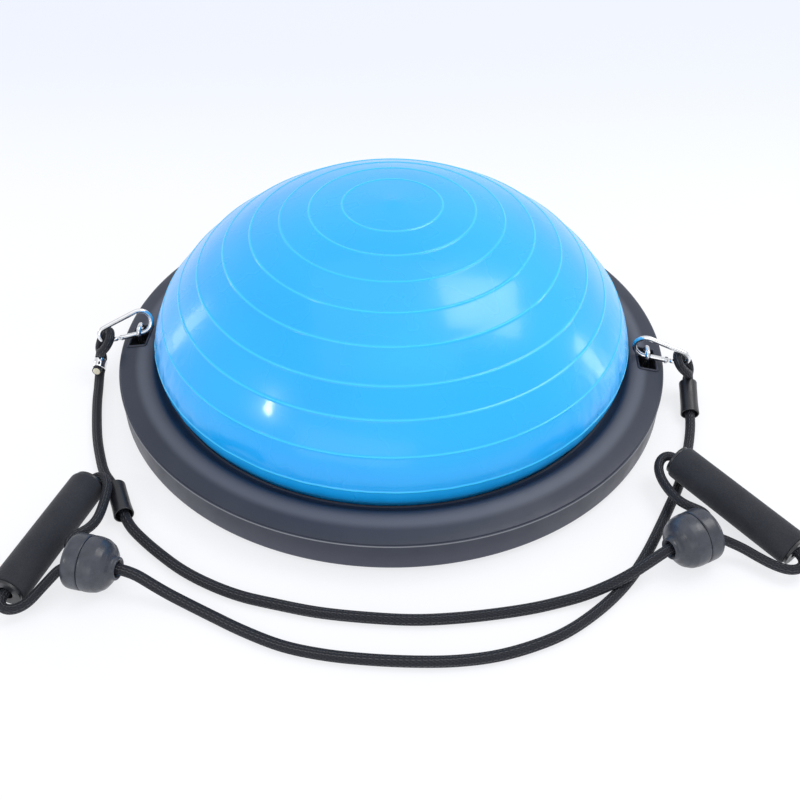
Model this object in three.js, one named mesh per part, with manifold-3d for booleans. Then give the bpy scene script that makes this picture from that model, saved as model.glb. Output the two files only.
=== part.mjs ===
// Balance dome trainer: an inflated dome clamped into a round base, with two elastic
// resistance cords that snap onto the base and end in foam handles.
// Millimetres, +Z up. The origin is the centre of the base's flat underside.
import * as THREE from "three";
import { mergeVertices } from "three/addons/utils/BufferGeometryUtils.js";
import Module from "manifold-3d";

const wasm = await Module();
wasm.setup();

// Driving dimensions
const GAP = 0.3; // clearance between pieces that touch
const ROUND = 48; // sides of the big rings
const BASE_R = 290;
const PLATE_T = 4; // floor of the base
const PARTING_Z = 30.7; // top of the lower shell's wall
const FOOT_H = 5;
const FLOOR_Z = -FOOT_H - GAP; // what the feet stand on
const DOME_TOP = 205;
const DOME_T = 3;
const LINING_STEPS = 7; // the dome's inner face, from neck to crown
const NECK_R = 240.5; // where the dome leaves the clamp ring
const BEAD_Z = 22; // underside of the dome's clamped rim
const BEAD_T = 4;
const BEAD_R = 261;

const SCREW_COUNT = 6;
const SCREW_RING_R = 274;
const FOOT_COUNT = 6;
const FOOT_RING_R = 268;
const FOOT_R = 16;
const VALVE_Y = 110;

const ANCHOR_X = 271; // U-bolt plane from the base's axis
const ANCHOR_Y = -16.5;
const CUP_OUT = 12.3; // outer wall of the anchor cup, outward from the U-bolt plane
const CUP_IN = 10;
const CUP_HALF_Y = 19;
const CUP_WALL = 2.4;
const CUP_FLOOR_Z = 13;
const CUP_FLOOR_T = 3;
const BOLT_R = 2.4; // U-bolt rod
const BOLT_HALF = 7; // half the distance between its legs
const BOLT_TOP_Z = 47.6; // axis of its cross bar
const BOLT_END_Z = 5;

const HOOK_R = 2.6; // hook wire
const HOOK_WIDE_R = 12.4;
const HOOK_NARROW_R = 7.4;
const HOOK_SPAN = 37; // between the centres of its two bends
const HOOK_REST_Z = 38.8; // axis of the wire where it passes through the U-bolt
const GATE_R = 2.7;
const GATE_TIP = 7; // stations along the hook from the wide bend's centre
const RIVET_AT = 23.5;
const GATE_END = 25.9;
const SHANK_AT = 27.5;

const CORD_R = 5; // resistance cord
const LOOP_R = 4.5; // handle cord
const SLEEVE_R = 9.2;
const SLEEVE_BORE = 8;
const SLEEVE_L = 40;
const FERRULE_L = 10.5;

const GRIP_R = 17;
const GRIP_BORE = 12;
const CORE_BORE = 7;
const FLANGE_R = 14.6;
const FLANGE_T = 3;
const GRIP_L = 132;
const HANDLE_L = GRIP_L + 2 * FLANGE_T;

const BULB_R = 24.8;
const BULB_L = 44;
const BULB_WALL = 3;
const BULB_SPLIT = 16; // from the bulb's rear face to the seam
const BULB_HOLE_R = 6;
const LOOP_SPREAD = 9; // handle cord's two holes, each side of the stopper's axis
const KNOT_FACE = 34; // where the cord ends against its knot, from the rear face

// Colours and finishes
const PALETTE = {
  dome: [0x2f9bf0, 0.22, 0],
  shell: [0x3f434d, 0.6, 0],
  foam: [0x2a2c33, 0.9, 0],
  plastic: [0x4a4e59, 0.5, 0],
  cord: [0x1c1d21, 0.8, 0],
  rubber: [0x1a1a1c, 0.85, 0],
  steel: [0xd5d8dc, 0.18, 1],
  latex: [0xe8dfc8, 0.7, 0],
};

const model = new THREE.Group();

function material(slot) {
  const [color, roughness, metalness] = PALETTE[slot];
  return new THREE.MeshStandardMaterial({ color, roughness, metalness });
}

function addPiece(name, geometry, slot, parent = model) {
  const mesh = new THREE.Mesh(geometry, material(slot));
  mesh.name = name;
  parent.add(mesh);
  return mesh;
}

// Geometry helpers

function bare(geometry) {
  const copy = geometry.clone();
  copy.deleteAttribute("normal");
  copy.deleteAttribute("uv");
  return mergeVertices(copy, 1e-4);
}

function signedVolume(position, index) {
  const [a, b, c] = [new THREE.Vector3(), new THREE.Vector3(), new THREE.Vector3()];
  let sum = 0;
  for (let i = 0; i < index.count; i += 3) {
    a.fromBufferAttribute(position, index.getX(i));
    b.fromBufferAttribute(position, index.getX(i + 1));
    c.fromBufferAttribute(position, index.getX(i + 2));
    sum += a.dot(b.cross(c));
  }
  return sum;
}

// Turns a closed surface so that its faces point out.
function facingOut(geometry) {
  const merged = bare(geometry);
  const index = merged.index;
  if (signedVolume(merged.attributes.position, index) < 0) {
    for (let i = 0; i < index.count; i += 3) {
      const first = index.getX(i);
      index.setX(i, index.getX(i + 1));
      index.setX(i + 1, first);
    }
  }
  merged.computeVertexNormals();
  return merged;
}

function solid(geometry) {
  const merged = facingOut(geometry);
  const vertProperties = Float32Array.from(merged.attributes.position.array);
  const triVerts = Uint32Array.from(merged.index.array);
  return new wasm.Manifold(new wasm.Mesh({ numProp: 3, vertProperties, triVerts }));
}

function fromSolid(manifold) {
  const { vertProperties, triVerts } = manifold.getMesh();
  const geometry = new THREE.BufferGeometry();
  geometry.setAttribute("position", new THREE.BufferAttribute(vertProperties, 3));
  geometry.setIndex(new THREE.BufferAttribute(triVerts, 1));
  geometry.computeVertexNormals();
  return geometry;
}

// A profile of [radius, height] pairs turned about the Z axis.
function turned(profile, sides = 20) {
  const points = profile.map(([r, z]) => new THREE.Vector2(r, z));
  return facingOut(new THREE.LatheGeometry(points, sides).rotateX(Math.PI / 2));
}

function turnedRing(profile, sides = 20) {
  return turned([...profile, profile[0]], sides);
}

function disc(radius, from, to, sides = 16) {
  return turned([[0, from], [radius, from], [radius, to], [0, to]], sides);
}

function block(dx, dy, dz, x, y, z) {
  return new THREE.BoxGeometry(dx, dy, dz).translate(x, y, z);
}

function circleShape(rx, ry = rx, sides = 8) {
  const corners = [];
  for (let i = 0; i < sides; i++) {
    const angle = (2 * Math.PI * i) / sides;
    corners.push(new THREE.Vector2(rx * Math.cos(angle), ry * Math.sin(angle)));
  }
  return new THREE.Shape(corners);
}

function tubeAlong(curve, radius, steps, sides = 8) {
  const shape = circleShape(radius, radius, sides);
  const options = { steps, extrudePath: curve, bevelEnabled: false, curveSegments: 1 };
  return facingOut(new THREE.ExtrudeGeometry(shape, options));
}

function curveThrough(points) {
  return new THREE.CatmullRomCurve3(points.map((p) => new THREE.Vector3(...p)), false, "centripetal");
}

// Turns a geometry whose axis is +Z to lie along a direction from a point.
function aim(geometry, from, direction) {
  const way = direction.clone().normalize();
  const turn = new THREE.Quaternion().setFromUnitVectors(new THREE.Vector3(0, 0, 1), way);
  return geometry.clone().applyQuaternion(turn).translate(from.x, from.y, from.z);
}

function atAngle(radius, degrees) {
  const angle = THREE.MathUtils.degToRad(degrees);
  return [radius * Math.cos(angle), radius * Math.sin(angle)];
}

const screwAngles = Array.from({ length: SCREW_COUNT }, (_, i) => 30 + (360 / SCREW_COUNT) * i);

// Base: lower shell, clamp ring, screws and feet

function anchorBlock(side, out, inward, halfY, fromZ, toZ) {
  const dx = out + inward;
  const x = side * (ANCHOR_X + (out - inward) / 2);
  return block(dx, 2 * halfY, toZ - fromZ, x, ANCHOR_Y, (fromZ + toZ) / 2);
}

function basePlate() {
  const profile = [
    [0, 0],
    [BASE_R - 3, 0],
    [BASE_R, 4],
    [BASE_R, PARTING_Z],
    [BASE_R - 3, PARTING_Z],
    [BASE_R - 3, PLATE_T],
    [262, PLATE_T],
    [262, BEAD_Z - GAP],
    [246, BEAD_Z - GAP],
    [246, PLATE_T],
    [0, PLATE_T],
  ];
  let shell = solid(turned(profile, ROUND));
  for (const degrees of screwAngles) {
    const [x, y] = atAngle(SCREW_RING_R, degrees);
    shell = shell.add(solid(disc(7, 3, 6).translate(x, y, 0)));
    shell = shell.subtract(solid(disc(4.8, -1, 3.2, 12).translate(x, y, 0)));
    shell = shell.subtract(solid(disc(2.2, 3, 8, 12).translate(x, y, 0)));
  }
  shell = shell.subtract(solid(disc(12.4, -1, 1.8, 24).translate(0, VALVE_Y, 0)));
  shell = shell.subtract(solid(disc(8, 1, 8, 24).translate(0, VALVE_Y, 0)));
  for (const side of [-1, 1]) {
    const space = anchorBlock(side, CUP_OUT, CUP_IN + GAP, CUP_HALF_Y + GAP, PLATE_T + GAP, 40);
    shell = shell.subtract(solid(space));
  }
  return fromSolid(shell);
}

function clampRing() {
  const under = PARTING_Z + GAP;
  const pressZ = BEAD_Z + BEAD_T + GAP;
  const profile = [
    [BASE_R, under],
    [BASE_R - 0.4, 31.9],
    [273, 34.9],
    [260, 36.9],
    [256.5, 37.1],
    [253.5, 36.2],
    [250.6, 33.2],
    [247.4, 31.2],
    [NECK_R + 1, 30.8],
    [NECK_R + 0.8, 28.3],
    [246.5, 28],
    [246.5, pressZ],
    [261.6, pressZ],
    [261.6, 32.6],
    [272, 31.6],
    [284.4, 28.8],
    [284.4, 25.5],
    [BASE_R - 3 - GAP, 25.5],
    [BASE_R - 3 - GAP, under],
  ];
  let ring = solid(turnedRing(profile, ROUND));
  for (const degrees of screwAngles) {
    const [x, y] = atAngle(SCREW_RING_R, degrees);
    ring = ring.add(solid(disc(5, 6.3, 32.5, 12).translate(x, y, 0)));
    ring = ring.subtract(solid(disc(2.1, 0, 25, 12).translate(x, y, 0)));
  }
  for (const side of [-1, 1]) {
    ring = ring.subtract(solid(anchorBlock(side, CUP_OUT + GAP, CUP_IN + GAP, CUP_HALF_Y + GAP, 0, 50)));
  }
  return fromSolid(ring);
}

function screw() {
  const profile = [[0, 0.6], [3.4, 0.6], [4.3, 1.4], [4.3, 2.9], [1.8, 2.9], [1.8, 22], [0, 23.5]];
  return turned(profile, 8);
}

function foot() {
  const profile = [[0, FLOOR_Z], [FOOT_R - 3, FLOOR_Z], [FOOT_R, FLOOR_Z + 2.5], [FOOT_R, -GAP], [0, -GAP]];
  return turned(profile, 12);
}

// Dome: its outer skin follows a smooth curve from the clamped neck to the top.

function domeOutline() {
  const waist = [[NECK_R, 31], [244.5, 36], [249, 46], [249.6, 58], [245.5, 73], [238, 88.5]];
  const crown = [[221, 110], [196.5, 135.5], [168, 157.5], [140, 174], [80, 195.5], [0, DOME_TOP]];
  const points = [...waist, ...crown].map(([r, z]) => new THREE.Vector2(r, z));
  return new THREE.SplineCurve(points);
}

function domeBladder() {
  const outline = domeOutline();
  const skin = outline.getPoints(11).map((p) => [Math.max(p.x, 0), p.y]);
  const lining = [];
  for (let i = 0; i <= LINING_STEPS; i++) {
    const point = outline.getPoint(i / LINING_STEPS);
    const tangent = outline.getTangent(i / LINING_STEPS);
    const r = point.x - DOME_T * tangent.y;
    lining.unshift([i === LINING_STEPS ? 0 : r, point.y + DOME_T * tangent.x]);
  }
  const bead = [
    [NECK_R - DOME_T, BEAD_Z],
    [BEAD_R, BEAD_Z],
    [BEAD_R, BEAD_Z + BEAD_T],
    [NECK_R, BEAD_Z + BEAD_T],
  ];
  skin[skin.length - 1][0] = 0;
  return turned([...lining, ...bead, ...skin], ROUND);
}

// Valve in the underside

function valveSeat() {
  const profile = [
    [5, 0.2],
    [12, 0.2],
    [12, 1.5],
    [7.6, 1.5],
    [7.6, PLATE_T + GAP],
    [11, PLATE_T + GAP],
    [11, 6.5],
    [5, 6.5],
  ];
  return turnedRing(profile, 20).translate(0, VALVE_Y, 0);
}

function airPlug() {
  const head = [[0, -2.4], [6.5, -2.4], [8.5, -1.6], [8.5, -0.2]];
  const stem = [[4.6, -0.2], [4.6, 7], [3.4, 11], [0, 12]];
  return turned([...head, ...stem], 20).translate(0, VALVE_Y, 0);
}

// Anchors: a cup let into the base, and a U-bolt held by a plate and two nuts

function anchorCup(side) {
  const bottom = CUP_FLOOR_Z;
  const lipTop = 37.4;
  const out = CUP_OUT - GAP;
  let cup = solid(anchorBlock(side, out, CUP_IN, CUP_HALF_Y, bottom, lipTop));
  const floorZ = bottom + CUP_FLOOR_T;
  const inner = [out - CUP_WALL, CUP_IN - CUP_WALL, CUP_HALF_Y - CUP_WALL];
  cup = cup.subtract(solid(anchorBlock(side, ...inner, floorZ, 60)));
  const slope = new THREE.BoxGeometry(80, 80, 20).translate(0, 0, 10);
  slope.rotateY(side * THREE.MathUtils.degToRad(10)).translate(side * ANCHOR_X, ANCHOR_Y, 36.2);
  cup = cup.subtract(solid(slope));
  for (const leg of [-1, 1]) {
    const hole = disc(BOLT_R + GAP, bottom - 5, floorZ + 5, 12);
    cup = cup.subtract(solid(hole.translate(side * ANCHOR_X, ANCHOR_Y + leg * BOLT_HALF, 0)));
  }
  return fromSolid(cup);
}

function uBolt(side) {
  const bend = 5;
  const path = new THREE.CurvePath();
  const at = (y, z) => new THREE.Vector3(side * ANCHOR_X, ANCHOR_Y + y, z);
  const corner = (...points) => path.add(new THREE.QuadraticBezierCurve3(...points));
  const high = BOLT_TOP_Z;
  const shoulder = BOLT_HALF - bend;
  path.add(new THREE.LineCurve3(at(-BOLT_HALF, BOLT_END_Z), at(-BOLT_HALF, high - bend)));
  corner(at(-BOLT_HALF, high - bend), at(-BOLT_HALF, high), at(-shoulder, high));
  path.add(new THREE.LineCurve3(at(-shoulder, high), at(shoulder, high)));
  corner(at(shoulder, high), at(BOLT_HALF, high), at(BOLT_HALF, high - bend));
  path.add(new THREE.LineCurve3(at(BOLT_HALF, high - bend), at(BOLT_HALF, BOLT_END_Z)));
  return tubeAlong(path, BOLT_R, 18, 8);
}

function anchorPlate(side) {
  let plate = solid(anchorBlock(side, 7, 7, 14, 10.4, CUP_FLOOR_Z - GAP));
  for (const leg of [-1, 1]) {
    const hole = disc(BOLT_R + GAP, 5, 20, 12);
    plate = plate.subtract(solid(hole.translate(side * ANCHOR_X, ANCHOR_Y + leg * BOLT_HALF, 0)));
  }
  return fromSolid(plate);
}

function nut(side, leg) {
  const bored = solid(disc(4.6, 6.2, 10.1, 6)).subtract(solid(disc(BOLT_R + GAP, 0, 20, 12)));
  return fromSolid(bored).translate(side * ANCHOR_X, ANCHOR_Y + leg * BOLT_HALF, 0);
}

// Snap hooks. A hook is drawn in its own plane: u runs from the wide bend to the narrow
// one, v runs from the gate to the spine, and w is the rivet's direction.

class HookFrame {
  constructor(side, yaw, tilt) {
    const lean = THREE.MathUtils.degToRad(tilt);
    const turn = THREE.MathUtils.degToRad(yaw);
    this.taper = Math.asin((HOOK_WIDE_R - HOOK_NARROW_R) / HOOK_SPAN);
    const dip = this.taper * Math.cos(lean);
    const level = Math.cos(dip);
    this.u = new THREE.Vector3(side * Math.cos(turn) * level, -Math.sin(turn) * level, -Math.sin(dip));
    const back = new THREE.Vector3(0, Math.sin(lean), Math.cos(lean));
    this.v = back.addScaledVector(this.u, -back.dot(this.u)).normalize();
    this.w = new THREE.Vector3().crossVectors(this.u, this.v);
    // The wire passes between the U-bolt's legs, and the gate lies on the cup's outer lip.
    const rest = new THREE.Vector3(side * (ANCHOR_X - 1.1), ANCHOR_Y + 0.5, HOOK_REST_Z);
    const [tu, tv] = this.gateLine(HOOK_WIDE_R * Math.sin(this.taper));
    this.centre = rest.addScaledVector(this.u, -tu).addScaledVector(this.v, -tv);
  }

  // The gate's axis is the straight line that touches both bends.
  gateLine(u) {
    const start = HOOK_WIDE_R * Math.sin(this.taper);
    return [u, -HOOK_WIDE_R * Math.cos(this.taper) + (u - start) * Math.tan(this.taper)];
  }

  at(u, v, w = 0) {
    const point = this.centre.clone().addScaledVector(this.u, u).addScaledVector(this.v, v);
    return point.addScaledVector(this.w, w);
  }

  gateDirection() {
    const c = Math.cos(this.taper);
    const s = Math.sin(this.taper);
    return this.u.clone().multiplyScalar(c).addScaledVector(this.v, s);
  }
}

function hookPath(frame) {
  const points = [];
  const put = (u, v) => points.push(frame.at(u, v));
  const quarter = Math.PI / 2;
  const from = -quarter + frame.taper;
  put(...frame.gateLine(GATE_TIP - GAP));
  for (let i = 0; i <= 10; i++) {
    const angle = from - (i / 10) * (Math.PI + 2 * frame.taper);
    put(HOOK_WIDE_R * Math.cos(angle), HOOK_WIDE_R * Math.sin(angle));
  }
  for (let i = 0; i <= 7; i++) {
    const angle = quarter - frame.taper - (i / 7) * (Math.PI - 2 * frame.taper);
    put(HOOK_SPAN + HOOK_NARROW_R * Math.cos(angle), HOOK_NARROW_R * Math.sin(angle));
  }
  put(...frame.gateLine(SHANK_AT));
  return new THREE.CatmullRomCurve3(points, false, "centripetal");
}

function hookBody(frame) {
  let body = solid(tubeAlong(hookPath(frame), HOOK_R, 30, 8));
  const tongue = new THREE.BoxGeometry(SHANK_AT + 1.5 - RIVET_AT, 4, 2.4);
  tongue.translate((SHANK_AT + 1.5 - RIVET_AT) / 2, 0, 0);
  const nose = new THREE.CylinderGeometry(2, 2, 2.4, 12).rotateX(Math.PI / 2);
  const hole = new THREE.CylinderGeometry(1.4, 1.4, 8, 12).rotateX(Math.PI / 2);
  body = body.add(solid(inGate(frame, tongue, RIVET_AT)));
  body = body.add(solid(inGate(frame, nose, RIVET_AT)));
  body = body.subtract(solid(inGate(frame, hole, RIVET_AT)));
  return fromSolid(body);
}

// Places a geometry drawn with X along the gate, Y towards the spine and Z across.
function inGate(frame, geometry, station) {
  const [u, v] = frame.gateLine(station);
  const along = frame.gateDirection();
  const up = new THREE.Vector3().crossVectors(frame.w, along);
  const basis = new THREE.Matrix4().makeBasis(along, up, frame.w).setPosition(frame.at(u, v));
  return geometry.clone().applyMatrix4(basis);
}

function gateTurned(profile, sides) {
  return turned(profile, sides).rotateY(Math.PI / 2);
}

function hookGate(frame) {
  const length = GATE_END - GATE_TIP;
  const tip = [[0, 0], [GATE_R - 0.5, 0], [GATE_R, 0.6]];
  const heel = [[GATE_R, length - 0.8], [GATE_R - 0.8, length], [0, length]];
  let gate = solid(inGate(frame, gateTurned([...tip, ...heel], 12), GATE_TIP));
  const slot = new THREE.BoxGeometry(12, 12, 3.1).translate(2.8, 0, 0);
  const bore = gateTurned([[0, -12], [1.5, -12], [1.5, 0], [0, 0]], 10);
  const hole = new THREE.CylinderGeometry(1.3, 1.3, 12, 12).rotateX(Math.PI / 2);
  gate = gate.subtract(solid(inGate(frame, slot, RIVET_AT)));
  gate = gate.subtract(solid(inGate(frame, bore, RIVET_AT - 2)));
  gate = gate.subtract(solid(inGate(frame, hole, RIVET_AT)));
  return fromSolid(gate);
}

function gateRivet(frame) {
  const head = [[1, 3], [1.9, 3], [1.6, 3.5], [0, 3.6]];
  const tail = head.map(([r, z]) => [r, -z]).reverse();
  return inGate(frame, turned([...tail, ...head], 10), RIVET_AT);
}

function gateSpring(frame) {
  const turns = 4;
  const points = [];
  for (let i = 0; i <= turns * 6; i++) {
    const angle = (i / 6) * 2 * Math.PI;
    points.push([-11.5 + (7 * i) / (turns * 6), 0.95 * Math.cos(angle), 0.95 * Math.sin(angle)]);
  }
  return inGate(frame, tubeAlong(curveThrough(points), 0.25, 24, 4), RIVET_AT);
}

// Cord ends. The cord passes round the hook's narrow bend and is crimped back on itself.

class CordEnd {
  constructor(ferruleTop, axis, split) {
    this.axis = new THREE.Vector3(...axis).normalize();
    this.top = new THREE.Vector3(...ferruleTop);
    const up = new THREE.Vector3(0, 0, 1);
    this.across = up.addScaledVector(this.axis, -up.dot(this.axis)).normalize();
    this.split = split;
  }

  // A point below the ferrule's top, moved across it, upwards if positive.
  at(down, across = 0) {
    return this.top.clone().addScaledVector(this.axis, down).addScaledVector(this.across, across);
  }
}

// From the crimped tail, over the hook's wire from front to back, and down to the crimp.
const LEFT_EYE_WAY = [
  [-310.6, -40.6, 28.5],
  [-303.5, -41.5, 36.5],
  [-298.6, -38, 44.5],
  [-300.3, -28.4, 46.3],
  [-304.4, -21.4, 43.6],
  [-309.8, -23.6, 39.2],
  [-314, -25.5, 32],
  [-316.4, -28, 22.5],
];

const RIGHT_EYE_WAY = [
  [315, -31, 29],
  [306.8, -34.2, 38],
  [301.8, -33.4, 45],
  [301.4, -24.9, 46.7],
  [304, -17, 45.4],
  [309.5, -16.2, 41.8],
  [314.8, -18.2, 35.5],
  [318.4, -21, 26],
];

function cordEye(end, way) {
  const [tail, main] = end.split;
  const rise = [end.at(-1, tail), end.at(-7, tail)];
  const fall = [end.at(-6, main), end.at(-1, main)];
  const points = [...rise, ...way.map((p) => new THREE.Vector3(...p)), ...fall];
  const curve = new THREE.CatmullRomCurve3(points, false, "centripetal");
  return tubeAlong(curve, CORD_R - GAP, 20, 8);
}

function ferrule(end, depth) {
  const shape = circleShape(6.9, depth, 20);
  const sleeve = new THREE.ExtrudeGeometry(shape, { depth: FERRULE_L, bevelEnabled: false });
  const side = new THREE.Vector3().crossVectors(end.across, end.axis);
  const basis = new THREE.Matrix4().makeBasis(side, end.across, end.axis).setPosition(end.top);
  return facingOut(sleeve.applyMatrix4(basis));
}

function sleeve(from, axis) {
  const top = [[SLEEVE_BORE, 0], [SLEEVE_R - 0.8, 0], [SLEEVE_R, 1]];
  const bottom = [[SLEEVE_R, SLEEVE_L - 1], [SLEEVE_R - 0.8, SLEEVE_L], [SLEEVE_BORE, SLEEVE_L]];
  const tube = turnedRing([...top, ...bottom], 14);
  return aim(tube, new THREE.Vector3(...from), new THREE.Vector3(...axis));
}

// Handle ends: a hollow two-part stopper, a knot on the cord and one on the handle's loop.

class Stopper {
  constructor(front, way) {
    this.way = new THREE.Vector3(...way).normalize();
    this.rear = new THREE.Vector3(...front).addScaledVector(this.way, -BULB_L);
    this.aside = new THREE.Vector3(-this.way.y, this.way.x, 0).multiplyScalar(Math.sign(this.way.x));
    const up = new THREE.Vector3(0, 0, 1);
    const side = new THREE.Vector3().crossVectors(up, this.way);
    this.basis = new THREE.Matrix4().makeBasis(side, up, this.way).setPosition(this.rear);
  }

  place(geometry) {
    return geometry.clone().applyMatrix4(this.basis);
  }

  at(along, aside = 0) {
    return this.rear.clone().addScaledVector(this.way, along).addScaledVector(this.aside, aside);
  }
}

function stopperFront() {
  const inside = BULB_R - BULB_WALL;
  const start = BULB_SPLIT + GAP;
  const belly = [[24, start], [BULB_R, 17.6], [BULB_R, 22], [24, 28]];
  const nose = [[21.2, 34], [17, 38.6], [11.8, 41.4], [11.4, 43.2], [9.4, BULB_L]];
  const collar = [[8.2, 43.2], [BULB_HOLE_R, 41.6], [BULB_HOLE_R, 38.6]];
  const inner = [[13, 35.8], [18, 31], [21, 25], [inside, start]];
  return turnedRing([...belly, ...nose, ...collar, ...inner], 16);
}

function stopperBack() {
  const inside = BULB_R - BULB_WALL;
  const profile = [
    [0, 0],
    [21.4, 0],
    [BULB_R, 3.2],
    [BULB_R, BULB_SPLIT - 1.4],
    [24, BULB_SPLIT],
    [inside, BULB_SPLIT],
    [inside, BULB_WALL],
    [0, BULB_WALL],
  ];
  let cup = solid(turned(profile, 16));
  for (const offset of [-LOOP_SPREAD, LOOP_SPREAD]) {
    cup = cup.subtract(solid(disc(LOOP_R + 0.5, -2, 8, 12).translate(offset, 0, 0)));
  }
  return fromSolid(cup);
}

function knot(stretch, along) {
  const ball = new THREE.SphereGeometry(7, 8, 6).scale(stretch, 1, 0.8);
  return facingOut(ball.translate(0, 0, along));
}

// Handle: a foam grip on a plastic core tube that turns on the handle's cord.

class Handle {
  constructor(from, to) {
    this.from = new THREE.Vector3(...from);
    this.way = new THREE.Vector3(...to).sub(this.from).normalize();
  }

  at(along) {
    return this.from.clone().addScaledVector(this.way, along);
  }
}

function handleGrip(handle) {
  const from = FLANGE_T + GAP;
  const to = FLANGE_T + GRIP_L - GAP;
  const ends = [[GRIP_BORE, from], [GRIP_R - 2.5, from], [GRIP_R, from + 2.5]];
  const profile = [...ends, [GRIP_R, to - 2.5], [GRIP_R - 2.5, to], [GRIP_BORE, to]];
  return aim(turnedRing(profile, 16), handle.from, handle.way);
}

function handleCore(handle) {
  const tube = GRIP_BORE - GAP;
  const near = [[CORE_BORE, 0], [FLANGE_R, 0], [FLANGE_R, FLANGE_T], [tube, FLANGE_T]];
  const far = near.map(([r, z]) => [r, HANDLE_L - z]).reverse();
  return aim(turnedRing([...near, ...far], 16), handle.from, handle.way);
}

// Cords as they lie. Each list runs from the hook to the stopper at the other side.

const LEFT_CORD_WAY = [
  [-314, -53, 0.2],
  [-311, -66, -0.2],
  [-307, -84, -0.2],
  [-300, -110, -0.2],
  [-290, -142, -0.2],
  [-280, -167, -0.2],
  [-269, -190, 0.6],
  [-260, -202, 2],
  [-251, -213, 3],
  [-242, -229, 3],
  [-233, -246, 2.6],
  [-225, -257, 0.8],
  [-212, -269, -0.2],
  [-191, -286, -0.2],
  [-165, -304, -0.2],
  [-137, -318, -0.2],
  [-109, -328, -0.2],
  [-80, -334, -0.2],
  [-40, -340.5, -0.2],
  [6, -343, -0.2],
  [45, -342.5, -0.2],
  [80, -338, -0.2],
  [113, -331.5, -0.2],
  [146, -323, -0.2],
  [171, -314.5, 0.2],
  [188, -308.5, 1.5],
  [203, -302.5, 4.2],
  [216, -297, 7.6],
  [230, -290, 11.8],
  [247, -279.5, 17.2],
];

const RIGHT_CORD_WAY = [
  [315.4, -80, 1.2],
  [313, -94, -0.2],
  [308.5, -113, -0.2],
  [303, -133, -0.2],
  [296.5, -154, -0.2],
  [288.5, -174, -0.2],
  [279, -195, -0.2],
  [268, -219, -0.2],
  [252, -252, -0.2],
  [239, -275, -0.2],
  [222, -299, -0.2],
  [200, -323, -0.2],
  [172, -346.5, -0.2],
  [144, -362, -0.2],
  [113, -374, -0.2],
  [80, -381, -0.2],
  [45, -384, -0.2],
  [5, -384.5, -0.2],
  [-30, -382.5, -0.2],
  [-65, -376.5, -0.2],
  [-100, -364, -0.2],
  [-131, -350, 0],
  [-152, -341, 1.6],
  [-170, -334.5, 5.5],
  [-186, -329, 11.2],
  [-200, -324.5, 17.2],
];

const LEFT_LOOP_TO_GRIP = [
  [-266.8, -300, 19.8],
  [-267, -291.5, 20],
  [-260.5, -284, 20],
  [-253.2, -275.5, 19.6],
  [-250.2, -264.5, 19],
  [-250.2, -254, 18.2],
  [-250.6, -243, 18],
  [-252, -230.5, 18],
  [-254.8, -218.5, 17],
  [-262.5, -208.5, 15.2],
  [-271, -207.5, 12.4],
];

const LEFT_LOOP_FROM_GRIP = [
  [-310.6, -355.8, 11.2],
  [-305.8, -362.6, 9.8],
  [-296.4, -362.2, 8.4],
  [-287.4, -354, 8],
  [-281.6, -341, 8.6],
  [-275.5, -331.5, 11.4],
  [-270, -326.8, 16],
];

const RIGHT_LOOP_TO_GRIP = [
  [306.5, -227.5, 19.6],
  [304, -219.5, 19.8],
  [295.5, -214.5, 19.6],
  [287, -209.5, 19.2],
  [281, -202, 18.4],
  [276.6, -192.5, 17.4],
  [272.4, -182, 17],
  [269.2, -171.5, 18.4],
  [268.8, -162, 20.2],
  [272.4, -153.5, 21.8],
  [279.5, -148.8, 23.2],
];

const RIGHT_LOOP_FROM_GRIP = [
  [386.5, -259.5, 11.2],
  [386, -267.5, 9.8],
  [378, -272.5, 8.4],
  [368, -271, 7.6],
  [357.5, -265.5, 7.4],
  [346, -257.5, 7.6],
  [335.5, -250.8, 9.2],
  [325, -248.2, 12.4],
  [317.5, -248.2, 16.4],
];

function cordTube(start, way, stopper) {
  const finish = [stopper.at(BULB_L), stopper.at(KNOT_FACE)];
  const points = [...start, ...way.map((p) => new THREE.Vector3(...p)), ...finish];
  return tubeAlong(new THREE.CatmullRomCurve3(points, false, "centripetal"), CORD_R, 42, 8);
}

function handleLoop(stopper, handle, toGrip, fromGrip) {
  const points = [
    stopper.at(5.5, LOOP_SPREAD),
    stopper.at(-4, LOOP_SPREAD),
    ...toGrip.map((p) => new THREE.Vector3(...p)),
    handle.at(2),
    handle.at(HANDLE_L / 3),
    handle.at((2 * HANDLE_L) / 3),
    handle.at(HANDLE_L - 2),
    ...fromGrip.map((p) => new THREE.Vector3(...p)),
    stopper.at(-4, -LOOP_SPREAD),
    stopper.at(5.5, -LOOP_SPREAD),
  ];
  return tubeAlong(new THREE.CatmullRomCurve3(points, false, "centripetal"), LOOP_R, 34, 8);
}

// Assembly

function addBase() {
  addPiece("base_plate", basePlate(), "shell");
  addPiece("clamp_ring", clampRing(), "shell");
  addPiece("dome_bladder", domeBladder(), "dome");
  addPiece("valve_seat", valveSeat(), "rubber");
  addPiece("air_plug", airPlug(), "rubber");
  screwAngles.forEach((degrees, i) => {
    const [x, y] = atAngle(SCREW_RING_R, degrees);
    addPiece(`rim_screw_${i + 1}`, screw(), "steel").position.set(x, y, 0);
  });
  for (let i = 0; i < FOOT_COUNT; i++) {
    const [x, y] = atAngle(FOOT_RING_R, (360 / FOOT_COUNT) * i + 90 / FOOT_COUNT + 15);
    addPiece(`foot_${i + 1}`, foot(), "rubber").position.set(x, y, 0);
  }
}

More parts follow.
